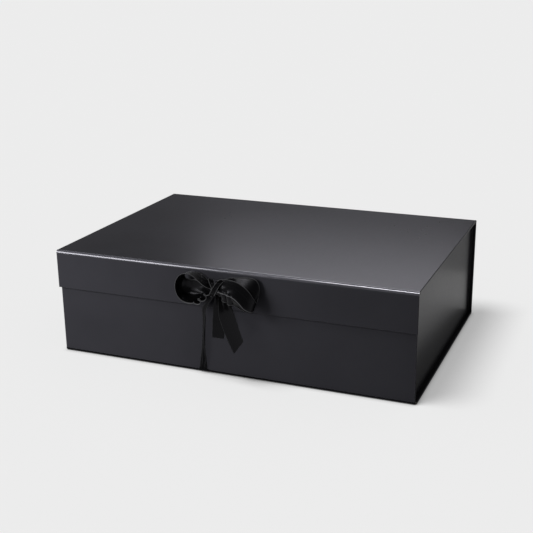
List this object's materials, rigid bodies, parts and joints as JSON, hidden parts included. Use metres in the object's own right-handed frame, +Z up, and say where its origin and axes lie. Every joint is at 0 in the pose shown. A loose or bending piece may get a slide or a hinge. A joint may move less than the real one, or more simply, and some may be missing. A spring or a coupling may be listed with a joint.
{
  "type": "gift box",
  "caption": "Black rigid gift box with a hinged lid, a front flap that shuts by magnets, and a satin ribbon tied in a bow on the flap.",
  "frame": {"origin": "middle of the underside of the base, on the table, half-way between the flap's face and the back's face", "axes": "+X across the front to the right as seen from the front, +Y from the front to the back, +Z up"},
  "size_m": [0.37, 0.2789, 0.1085],
  "materials": {
    "covering_paper": "black paper with a matt film",
    "lining_paper": "plain black paper",
    "greyboard": "raw greyboard",
    "magnet": "nickel plated",
    "steel_disc": "bare steel",
    "satin_ribbon": "black satin"
  },
  "bodies": {
    "tray": {"back_board": "greyboard", "back_crease_strip": "covering_paper", "back_liner": "lining_paper", "back_wrap": "covering_paper", "base_board": "greyboard", "base_liner": "lining_paper", "base_ribbon_anchor": "satin_ribbon", "base_wrap": "covering_paper", "floor_board": "greyboard", "floor_liner": "lining_paper", "front_board": "greyboard", "front_crease_strip": "covering_paper", "front_liner": "lining_paper", "front_plate_left": "steel_disc", "front_plate_right": "steel_disc", "front_wrap": "covering_paper", "left_end_board": "greyboard", "left_end_liner": "lining_paper", "left_end_wrap": "covering_paper", "lid_hinge_strip": "covering_paper", "right_end_board": "greyboard", "right_end_liner": "lining_paper", "right_end_wrap": "covering_paper", "stay_back_left": "lining_paper", "stay_back_right": "lining_paper", "stay_front_left": "lining_paper", "stay_front_right": "lining_paper"},
    "lid": {"lid_board": "greyboard", "lid_wrap": "covering_paper", "lid_liner": "lining_paper", "flap_hinge_strip": "covering_paper"},
    "flap": {"flap_board": "greyboard", "flap_wrap": "covering_paper", "flap_liner": "lining_paper", "flap_magnet_left": "magnet", "flap_magnet_right": "magnet", "flap_ribbon_anchor": "satin_ribbon", "flap_ribbon_lead": "satin_ribbon", "bow_knot": "satin_ribbon", "bow_left_loop": "satin_ribbon", "bow_right_loop": "satin_ribbon"},
    "tails": {"bow_left_tail": "satin_ribbon", "bow_right_tail": "satin_ribbon", "base_ribbon_lead": "satin_ribbon"}
  },
  "joints": [
    {"name": "lid_hinge", "type": "hinge", "parent": "tray", "child": "lid", "pos_m": [0, 0.12738, 0.10788], "axis": [-1, 0, 0], "range_deg": [0, 180], "deforming": ["lid_hinge_strip"]},
    {"name": "flap_hinge", "type": "hinge", "parent": "lid", "child": "flap", "pos_m": [0, -0.12738, 0.10788], "axis": [-1, 0, 0], "range_deg": [0, 90], "deforming": ["flap_hinge_strip"]},
    {"name": "tails_lift", "type": "hinge", "parent": "flap", "child": "tails", "pos_m": [-0.0005, -0.146, 0.0865], "axis": [-1, 0, 0], "range_deg": [0, 90]}
  ]
}
